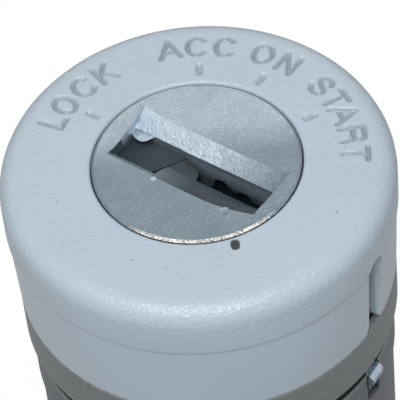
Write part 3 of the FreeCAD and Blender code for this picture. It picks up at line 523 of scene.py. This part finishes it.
# Two nicks in the near edge of the recess; the tail's flats; the holes of the drive's pin and the shutter's
# pin; a dimple for the detent's ball at each stop; eight wafer slots, each with its wing and spring pocket.
for u, v, radius in ((-2.1, -3.75, 0.5), (5.5, -3.6, 0.9)):
    cuts.append((ball(radius, u, v, -0.8 * radius, lock_angle, 2), torn_zinc))
for side in (0, 180):
    flat = bar([(3.3, 43.02, 0), (5.0, 43.02, 0), (5.0, 50.5, 0), (3.3, 50.5, 0)], -5.0, 5.0, lock_angle + side)
    cuts.append((flat, tumbled_zinc))
cuts.append((rod(0.82, -6.0, 6.0, 45.7, lock_angle + 90), tumbled_zinc))
cuts.append((rod(0.37, -10.0, 2.57, 2.75, lock_angle + 90, aside=7.0), tumbled_zinc))
for stop in detent_stops:
    cuts.append((ball(1.55, 10.18, 0, detent_depth, detent_angle + stop, 4), tumbled_zinc))
for number in range(8):
    middle = first_wafer + wafer_pitch * number
    top, bottom = middle - wafer_slot_half, middle + wafer_slot_half
    turn = lock_angle + 180 * (number % 2)
    wing = bar([(2.6, top + 0.01, 0), (4.5, top + 0.01, 0), (4.5, bottom - 0.01, 0), (2.6, bottom - 0.01, 0)],
               4.95, 10.5, turn)
    cuts += [(block(wafer_half_width, top, bottom, -10.0, 10.0, lock_angle), tumbled_zinc),
             (wing, tumbled_zinc), (rod(0.95, 1.25, 5.1, middle, turn, aside=3.5, sides=24), tumbled_zinc)]
rim = turned([(9.21, -0.03, 0), (9.6, 0.24, 0), (9.8, 0.24, 0), (9.8, -0.2, 0), (9.21, -0.2, 0)], 240)
cuts.append((rim, burnished_and_highlit_zinc))
plug = piece_from(turned(plug_outline, 240), "plug_casting", tumbled_zinc, torn_zinc, greased_and_shaded_zinc, wiped_zinc,
                  burnished_and_highlit_zinc)
carve(plug, cuts)
smoothed(plug)
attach(plug, "plug")
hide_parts("plug")

# Flash. A thin tongue of zinc that was left hanging from the far slope at the left end of the recess. It
# dips a little towards its free edge.
flash_outline = [
    (-7.95, 1.5, 0), (-7.95, 0.85, 0.1), (-7.4, 0.48, 0.2), (-6.7, 0.36, 0.3), (-6.2, 0.6, 0.2), (-5.95, 1.0, 0.2),
    (-5.6, 1.5, 0),
]
flash_root, flash_depth, flash_dip, flash_thickness = 1.5, 1.34, 0.12, 0.13


def in_recess(u, v, depth):
    """A point from its place along and across the recess and its depth."""
    return Matrix.Rotation(radians(lock_angle), 3, "Z") @ Vector((u / 1000, v / 1000, height(depth)))


def plate(points, place, thickness, bent=False):
    """A thin plate under a closed outline; a bent one has its face cut into triangles first."""
    bm = bmesh.new()
    outlined(bm, points, place)
    bmesh.ops.contextual_create(bm, geom=bm.edges[:])
    if bent:
        bmesh.ops.triangulate(bm, faces=bm.faces[:])
    grown = bmesh.ops.extrude_face_region(bm, geom=bm.faces[:])["geom"]
    moved = [item for item in grown if isinstance(item, bmesh.types.BMVert)]
    bmesh.ops.translate(bm, verts=moved, vec=(0, 0, -thickness / 1000))
    bmesh.ops.recalc_face_normals(bm, faces=bm.faces[:])
    return bm


def on_flash(u, v):
    """A point on the flash's top."""
    return in_recess(u, v, flash_depth + flash_dip * (flash_root - v))


flash = piece_from(plate(flash_outline, on_flash, flash_thickness), "recess_flash", torn_zinc)
rounded = flash.modifiers.new("soft edge", "BEVEL")
rounded.width, rounded.segments = 0.00005, 2
settled(flash)
smoothed(flash)
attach(flash, "plug")

# Shutter. A flap stamped from blackened steel closes the left end of the recess. It turns on a pin, and a
# small torsion spring closes it behind the key. Its outer sheet laps the hinge, and ends in a slanting edge.
black_steel, tree, shader, place = started("blackened steel sheet")
worn = add_node(tree, "ShaderNodeTexNoise", {"Vector": place, "Scale": per_metre(2.5), "Detail": 5.0})
shade = add_node(tree, "ShaderNodeMix", {0: worn.outputs["Fac"], 6: linear("#253037"), 7: linear("#3C4851")},
                 data_type="RGBA")
rough = add_node(tree, "ShaderNodeMapRange", {"Value": worn.outputs["Fac"], "To Min": 0.5, "To Max": 0.65})
shader.inputs["Metallic"].default_value = 0.6
tree.links.new(shade.outputs[2], shader.inputs["Base Color"])
tree.links.new(rough.outputs[0], shader.inputs["Roughness"])
finish_nodes(black_steel, "shutter_flap", "detent_set_screw")

sheet_top, sheet_near, sheet_far, sheet_slant = 1.93, -2.8, 1.15, 0.58
sheet_edge = [
    (7.82, sheet_top, 0.05), (2.05, 1.9, 0.04), (2.05, 2.06, 0), (5.9, 2.06, 0), (6.2, 2.03, 0), (7.82, 2.03, 0),
]


def slanted(u, v, depth):
    """The sheet's right edge runs at a slant across the recess."""
    return (sheet_slant * (v - sheet_far), 0) if u > -4 else (0, 0)


sheet_bar = bar(sheet_edge, sheet_near, sheet_far, lock_angle + 90)
sheet = piece_from(shifted(sheet_bar, [], slanted), "shutter_sheet", black_steel)
smoothed(sheet)
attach(sheet, "shutter")

# Nose of the shutter. The flap's free end dips under the key, and is drawn as a thin bent plate over it. Grease
# has dried on its rounded tip, and its near part is rubbed clean.
nose_outline = [
    (-1.98, 1.08, 0), (-0.98, 1.12, 0.2), (-0.42, 0.82, 0.4), (-0.36, 0.1, 0.3), (-0.02, -0.6, 0.3),
    (0.3, -1.12, 0), (-3.2, -1.08, 0),
]
nose_bend, nose_far, nose_fall, grease_thickness = -2.1, 1.1, 0.385, 0.12
dried_grease, tree, shader, place = started("blackened steel under dried grease")
crust = add_node(tree, "ShaderNodeTexNoise", {"Vector": place, "Scale": per_metre(0.9), "Detail": 5.0,
                                              "Roughness": 0.65})
shade = add_node(tree, "ShaderNodeMix", {0: crust.outputs["Fac"], 6: linear("#1A1D20"), 7: linear("#34393C")},
                 data_type="RGBA")
across = add_node(tree, "ShaderNodeMapping", {"Vector": place, "Rotation": (0, 0, radians(-lock_angle))})
across = add_node(tree, "ShaderNodeSeparateXYZ", {"Vector": across.outputs[0]}).outputs["Y"]
clean = add_node(tree, "ShaderNodeMapRange", {"Value": across, "From Min": 0.0009, "From Max": 0.0003})
shade = add_node(tree, "ShaderNodeMix", {0: clean.outputs[0], 6: shade.outputs[2], 7: linear("#394249")},
                 data_type="RGBA")
bumps = add_node(tree, "ShaderNodeBump", {"Height": crust.outputs["Fac"], "Strength": 0.8, "Distance": 0.0001})
shader.inputs["Specular IOR Level"].default_value = 0.2
shader.inputs["Roughness"].default_value = 0.7
tree.links.new(shade.outputs[2], shader.inputs["Base Color"])
tree.links.new(bumps.outputs[0], shader.inputs["Normal"])


def on_nose(u, v):
    """A point on the nose's top, which falls away to the right of a slanting bend."""
    past_bend = u - nose_bend + sheet_slant * (nose_far - v)
    return in_recess(u, v, sheet_top + nose_fall * max(past_bend, 0))


nose = piece_from(plate(nose_outline, on_nose, grease_thickness, bent=True), "shutter_nose_grease", dried_grease)
smoothed(nose)
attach(nose, "shutter")

# Pins. Drawn steel rod, cut to length and pressed in: the cap's pin at the back, the shutter's pin under its
# flap, and the drive's pin through the plug's tail. Drawing leaves them smooth, with a faint change of tone.
drawn_steel, tree, shader, place = started("drawn steel rod")
lines = add_node(tree, "ShaderNodeTexNoise", {"Vector": place, "Scale": per_metre(0.4), "Detail": 2.0})
shade = add_node(tree, "ShaderNodeMix", {0: lines.outputs["Fac"], 6: linear("#9A9D9F"), 7: linear("#BFC2C4")},
                 data_type="RGBA")
shader.inputs["Metallic"].default_value = 1.0
shader.inputs["Roughness"].default_value = 0.35
tree.links.new(shade.outputs[2], shader.inputs["Base Color"])
finish_nodes(drawn_steel, "bezel_pin", "shutter_pin", "coupling_pin")

# Bezel cap. A zinc die casting sprayed light grey after casting, held on the housing's neck by a pin. The
# switch positions LOCK, ACC, ON and START and their four marks are sunk in its face, with soft edges.
cap_outline = [
    (9.62, 0, 0.35), (18.0, 0, 2.0), (18.0, 5.1, 0.14), (17.85, 5.14, 0.1), (17.6, 13.8, 0.15),
    (15.9, 13.8, 0.1), (15.9, 3.0, 0), (9.62, 3.0, 0.1),
]
legend_foot = 13.25
letter_height = 2.15
groove_floor, groove_edge, groove_depth = 0.04, 0.35, 0.40
mark_floor, mark_edge, mark_depth = 0.08, 0.46, 0.32
mark_out, mark_half_length, mark_angles = 11.4, 0.45, (141.5, 84, 54, 20)
dirt_and_shade_starts, dirt_and_shade_fills = 0.12, 0.37
face_edge, cap_steps, face_rings = 16.2, 960, 64
paint_thickness = 0.06
spots = [
    (2.57, -10.26, 0.40, 0.56), (11.8, -7.8, 0.08, 0.08), (-12.7, -3.0, 0.05, 0.05), (-6.6, -10.7, 0.05, 0.05),
    (-12.4, -8.2, 0.05, 0.05), (-3.7, -12.0, 0.04, 0.04), (-2.8, -12.8, 0.04, 0.04),
]
round_letter = [(cos(radians(a)), sin(radians(a))) for a in range(0, 361, 12)]
open_letter = [(cos(radians(a)), sin(radians(a))) for a in range(42, 319, 12)]
half = letter_height / 2

# Strokes of each letter, from its foot upwards and from its middle to the sides, and each letter's angle.
letters = {
    "L": [[(-0.62, 2.15), (-0.62, 0), (0.68, 0)]],
    "O": [[(0.85 * x, half + half * y) for x, y in round_letter]],
    "C": [[(0.88 * x, half + half * y) for x, y in open_letter]],
    "K": [[(-0.74, 0), (-0.74, 2.15)], [(0.62, 2.15), (-0.74, 0.85)], [(-0.2, 1.3), (0.74, 0)]],
    "A": [[(-0.95, 0), (0, 2.15), (0.95, 0)], [(-0.6, 0.72), (0.6, 0.72)]],
    "N": [[(-0.75, 0), (-0.75, 2.15), (0.75, 0), (0.75, 2.15)]],
    "S": [[(0.64, 1.7), (0.36, 2.08), (-0.1, 2.15), (-0.55, 1.92), (-0.66, 1.55), (-0.42, 1.22), (0, 1.06),
           (0.5, 0.88), (0.7, 0.52), (0.5, 0.14), (0.05, 0), (-0.42, 0.08), (-0.74, 0.45)]],
    "T": [[(-0.78, 2.15), (0.78, 2.15)], [(0, 2.15), (0, 0)]],
    "R": [[(-0.8, 0), (-0.8, 2.15), (0.3, 2.15), (0.66, 1.98), (0.76, 1.62), (0.62, 1.28), (0.3, 1.12),
           (-0.8, 1.12)], [(0.3, 1.12), (0.66, 0.9), (0.76, 0)]],
}
legends = [
    ("L", 151.3), ("O", 142.8), ("C", 131.9), ("K", 121.7), ("A", 95.5), ("C", 85.1), ("C", 74.4),
    ("O", 59.6), ("N", 48.9), ("S", 31.9), ("T", 23.3), ("A", 15.4), ("R", 4.9), ("T", -4.6),
]


def strokes_on_face():
    """Every stroke of the legends as a straight run on the cap's face, in mm."""
    runs = []
    for letter, angle in legends:
        out = Vector((cos(radians(angle)), sin(radians(angle))))
        right = Vector((out.y, -out.x))
        for line in letters[letter]:
            points = [out * (legend_foot + y) + right * x for x, y in line]
            runs += zip(points, points[1:])
    return np.array([(a[:], b[:]) for a, b in runs])


def marks_on_face():
    """The middle line of each position mark, in mm."""
    runs = []
    for angle in mark_angles:
        out = Vector((cos(radians(angle)), sin(radians(angle))))
        runs.append((out * (mark_out - mark_half_length), out * (mark_out + mark_half_length)))
    return np.array([(a[:], b[:]) for a, b in runs])


def nearest(points, runs):
    """Distance from each point to the nearest of the straight runs."""
    best = np.full(len(points), 99.0)
    for start, end in runs:
        along = end - start
        part = np.clip(((points - start) @ along) / (along @ along), 0, 1)
        best = np.minimum(best, np.linalg.norm(points - start - part[:, None] * along, axis=1))
    return best


def sunk(distance, floor, edge, depth):
    """Depth of a soft-edged groove at a distance from its middle line."""
    part = np.clip((edge - distance) / (edge - floor), 0, 1)
    return depth * part * part * (3 - 2 * part)


# Paint: thick and orange-peeled on the face, thinner and smoother down the skirt, chipped to the dark zinc in
# a few spots, with a little dirt and painted shade darkening the legends' grooves.
grey_paint, tree, shader, place = started("light grey sprayed paint on zinc")
chips = add_node(tree, "ShaderNodeAttribute", attribute_name="chipped")
groove_dirt_and_shade = add_node(tree, "ShaderNodeAttribute", attribute_name="sunk")
tone = add_node(tree, "ShaderNodeTexNoise", {"Vector": place, "Scale": per_metre(9), "Detail": 3.0})
peel = add_node(tree, "ShaderNodeTexNoise", {"Vector": place, "Scale": per_metre(0.45), "Detail": 4.0,
                                             "Roughness": 0.6})
shade = add_node(tree, "ShaderNodeMix", {0: tone.outputs["Fac"], 6: linear("#ABBAC7"), 7: linear("#B4C3CF")},
                 data_type="RGBA")
# Partly painted shade: the deeper parts of the legends' grooves are coloured darker, for dirt and for shade.
dirt_and_shade_tone = add_node(tree, "ShaderNodeMix", {0: groove_dirt_and_shade.outputs["Fac"], 6: shade.outputs[2], 7: linear("#8F9DA9")},
                 data_type="RGBA")
bare = add_node(tree, "ShaderNodeMix", {0: chips.outputs["Fac"], 6: dirt_and_shade_tone.outputs[2], 7: linear("#2C2E31")},
                data_type="RGBA")
rough = add_node(tree, "ShaderNodeMapRange", {"Value": peel.outputs["Fac"], "To Min": 0.12, "To Max": 0.26})
level = add_node(tree, "ShaderNodeSeparateXYZ", {"Vector": place}).outputs["Z"]
thick = add_node(tree, "ShaderNodeMapRange", {"Value": level, "From Min": height(4.8), "From Max": height(2.0),
                                              "To Min": 0.2, "To Max": 0.65})
orange = add_node(tree, "ShaderNodeBump", {"Height": peel.outputs["Fac"], "Strength": thick.outputs[0],
                                           "Distance": 0.0002})
tree.links.new(bare.outputs[2], shader.inputs["Base Color"])
tree.links.new(rough.outputs[0], shader.inputs["Roughness"])
tree.links.new(orange.outputs[0], shader.inputs["Normal"])
shader.inputs["IOR"].default_value = 1.48

# The slot in the skirt with its flared foot, a relief inside the skirt beside it, and the pin's hole.
cap = piece_from(turned(cap_outline, cap_steps), "bezel", grey_paint)
skirt_slot = bar([(-1.05, 4.4, 0.95), (1.05, 4.4, 0.95), (1.05, 13.82, 0.3), (2.6, 13.82, 0), (2.6, 15.0, 0),
                  (-2.9, 15.0, 0), (-2.9, 13.82, 0), (-1.05, 13.82, 1.1)], 15.0, 19.0, slot_angle)
inner_relief = bar([(-9.9, 5.2, 0), (-8.977, 5.2, 0), (-8.977, 14.0, 0), (-9.9, 14.0, 0)], 14.0, 16.2,
                   slot_angle + 35)
carve(cap, [skirt_slot, inner_relief, rod(cap_pin_radius, 14.0, 19.0, cap_pin_depth, cap_pin_angle)])

# The flat face is divided into rings, and its points are sunk into the legends, the marks and the chips.
bm = bmesh.new()
bm.from_mesh(cap.data)
just_under_face = height(0.01)
spokes = [edge for edge in bm.edges
          if edge.calc_length() > 0.005 and min(point.co.z for point in edge.verts) > just_under_face]
bmesh.ops.subdivide_edges(bm, edges=spokes, cuts=face_rings, use_grid_fill=True)
bm.to_mesh(cap.data)
bm.free()
mesh = cap.data
places = np.empty(len(mesh.vertices) * 3)
mesh.vertices.foreach_get("co", places)
places = places.reshape(-1, 3)
on_face = (places[:, 2] > just_under_face) & (np.hypot(places[:, 0], places[:, 1]) < face_edge / 1000)
flat = places[on_face, :2] * 1000
depth = sunk(nearest(flat, strokes_on_face()), groove_floor, groove_edge, groove_depth)
depth = np.maximum(depth, sunk(nearest(flat, marks_on_face()), mark_floor, mark_edge, mark_depth))
chipped = np.zeros(len(mesh.vertices))
chip = np.zeros(len(flat))
for x, y, wide, long in spots:
    across, along = np.abs(flat - (x, y)).T
    away = ((across / wide) ** 2.6 + (along / long) ** 2.6) ** (1 / 2.6)
    chip = np.maximum(chip, np.clip((1.15 - away) / 0.2, 0, 1))
chipped[on_face] = chip
places[on_face, 2] -= (depth + paint_thickness * chip) / 1000
mesh.vertices.foreach_set("co", places.ravel())
mesh.attributes.new("chipped", "FLOAT", "POINT").data.foreach_set("value", chipped)
# Groove darkening for dirt and painted shade, deepest where the legends are sunk deepest.
groove_dirt_and_shade_amount = np.zeros(len(mesh.vertices))
groove_dirt_and_shade_amount[on_face] = np.clip((depth - dirt_and_shade_starts) / (dirt_and_shade_fills - dirt_and_shade_starts), 0, 1)
mesh.attributes.new("sunk", "FLOAT", "POINT").data.foreach_set("value", groove_dirt_and_shade_amount)
smoothed(cap, 40)
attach(cap, "housing")
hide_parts("bezel_cap")

# Drive coupling. Moulded in black nylon: a flange pinned to the plug's tail, a lug for the return spring, and
# a hub with a square socket that turns the electrical switch.
black_nylon, tree, shader, place = started("moulded black nylon")
mould = add_node(tree, "ShaderNodeTexNoise", {"Vector": place, "Scale": per_metre(0.25), "Detail": 2.0})
shade = add_node(tree, "ShaderNodeMix", {0: mould.outputs["Fac"], 6: linear("#17181A"), 7: linear("#222326")},
                 data_type="RGBA")
rough = add_node(tree, "ShaderNodeMapRange", {"Value": mould.outputs["Fac"], "To Min": 0.45, "To Max": 0.6})
grain = add_node(tree, "ShaderNodeBump", {"Height": mould.outputs["Fac"], "Strength": 0.2, "Distance": 0.00004})
tree.links.new(shade.outputs[2], shader.inputs["Base Color"])
tree.links.new(rough.outputs[0], shader.inputs["Roughness"])
tree.links.new(grain.outputs[0], shader.inputs["Normal"])
finish_nodes(black_nylon, "drive_coupling")

# Rear plate and screws. The plate is blanked from zinc-plated steel and closes the rear chamber; two slotted
# pan-head screws hold its ears.
plated_steel, tree, shader, place = started("zinc-plated steel")
spangle = add_node(tree, "ShaderNodeTexNoise", {"Vector": place, "Scale": per_metre(2), "Detail": 4.0})
shade = add_node(tree, "ShaderNodeMix", {0: spangle.outputs["Fac"], 6: linear("#A3A49F"), 7: linear("#C9CAC3")},
                 data_type="RGBA")
rough = add_node(tree, "ShaderNodeMapRange", {"Value": spangle.outputs["Fac"], "To Min": 0.25, "To Max": 0.42})
shader.inputs["Metallic"].default_value = 1.0
tree.links.new(shade.outputs[2], shader.inputs["Base Color"])
tree.links.new(rough.outputs[0], shader.inputs["Roughness"])
finish_nodes(plated_steel, "rear_plate", "plate_screws")

# Table. A plain white board that the lock stands on. It shows white to the camera, and enough of it stays matt
# to keep a soft shadow.
bm = bmesh.new()
bmesh.ops.create_grid(bm, x_segments=1, y_segments=1, size=3.0)
white_board, tree, shader, place = started("white board")
rays = add_node(tree, "ShaderNodeLightPath")
matt = add_node(tree, "ShaderNodeBsdfDiffuse", {"Color": linear("#C4C6C8")})
glow = add_node(tree, "ShaderNodeEmission", {"Color": (1, 1, 1, 1), "Strength": 1.09})
seen = add_node(tree, "ShaderNodeMath", {0: rays.outputs["Is Camera Ray"], 1: 0.85}, operation="MULTIPLY")
mixed = add_node(tree, "ShaderNodeMixShader", {0: seen.outputs[0], 1: matt.outputs[0], 2: glow.outputs[0]})
tree.links.new(mixed.outputs[0], tree.nodes["Material Output"].inputs["Surface"])
table = piece_from(bm, "table", white_board)

# Light. A white tent all round with one large soft lamp above and a little in front, as for a parts picture.
# The tent is white to the camera and in gloss, and dimmer in the light that it throws on the lock.
world = bpy.data.worlds.new("white tent")
bpy.context.scene.world = world
world.use_nodes = True
tree = world.node_tree
tree.nodes.clear()
rays = add_node(tree, "ShaderNodeLightPath")
first = add_node(tree, "ShaderNodeMath", {0: rays.outputs["Is Camera Ray"], 1: rays.outputs["Is Glossy Ray"]},
                 operation="MAXIMUM")
clear = add_node(tree, "ShaderNodeMath", {0: first.outputs[0], 1: rays.outputs["Is Transmission Ray"]},
                 operation="MAXIMUM")
level = add_node(tree, "ShaderNodeMapRange", {"Value": clear.outputs[0], "To Min": 0.38, "To Max": 1.0})
sky = add_node(tree, "ShaderNodeBackground", {"Color": (1, 1, 1, 1), "Strength": level.outputs[0]})
add_node(tree, "ShaderNodeOutputWorld", {"Surface": sky.outputs[0]})


def lamp(name, place, aim, size, power):
    """A soft square lamp."""
    light = bpy.data.lights.new(name, "AREA")
    light.size = size
    light.energy = power
    holder = bpy.data.objects.new(name, light)
    bpy.context.scene.collection.objects.link(holder)
    holder.location = place
    holder.rotation_euler = (Vector(aim) - Vector(place)).to_track_quat("-Z", "Y").to_euler()


lamp("overhead softbox", (-0.05, -0.22, 0.53), (0, 0, 0.05), 0.20, 2.15)

# Camera. At the photograph's angle, with its long lens and its slight lean. The lens was fitted to the
# photograph's outlines, so its focal length is in pixels.
distance, elevation, roll = 0.265603, radians(48.13), -0.1105
focal_pixels, photo_width = 2959.337, 400
eye = Vector((0, -distance * cos(elevation), distance * sin(elevation) + overall / 1000))
aim = Vector((-0.000065, -0.004669, overall / 1000))
ahead = (aim - eye).normalized()
side = ahead.cross(Vector((0, 0, 1))).normalized()
above = side.cross(ahead)
right = side * cos(roll) + above * sin(roll)
up = -side * sin(roll) + above * cos(roll)
camera_data = bpy.data.cameras.new("camera")
camera_data.sensor_width = 36.0
camera_data.lens = camera_data.sensor_width * focal_pixels / photo_width
camera_data.clip_start = 0.01
camera = bpy.data.objects.new("camera", camera_data)
bpy.context.scene.collection.objects.link(camera)
turned_to = Matrix((right, up, -ahead)).transposed().to_4x4()
camera.matrix_world = Matrix.Translation(eye) @ turned_to
bpy.context.scene.camera = camera
bpy.context.scene.view_settings.view_transform = "Standard"
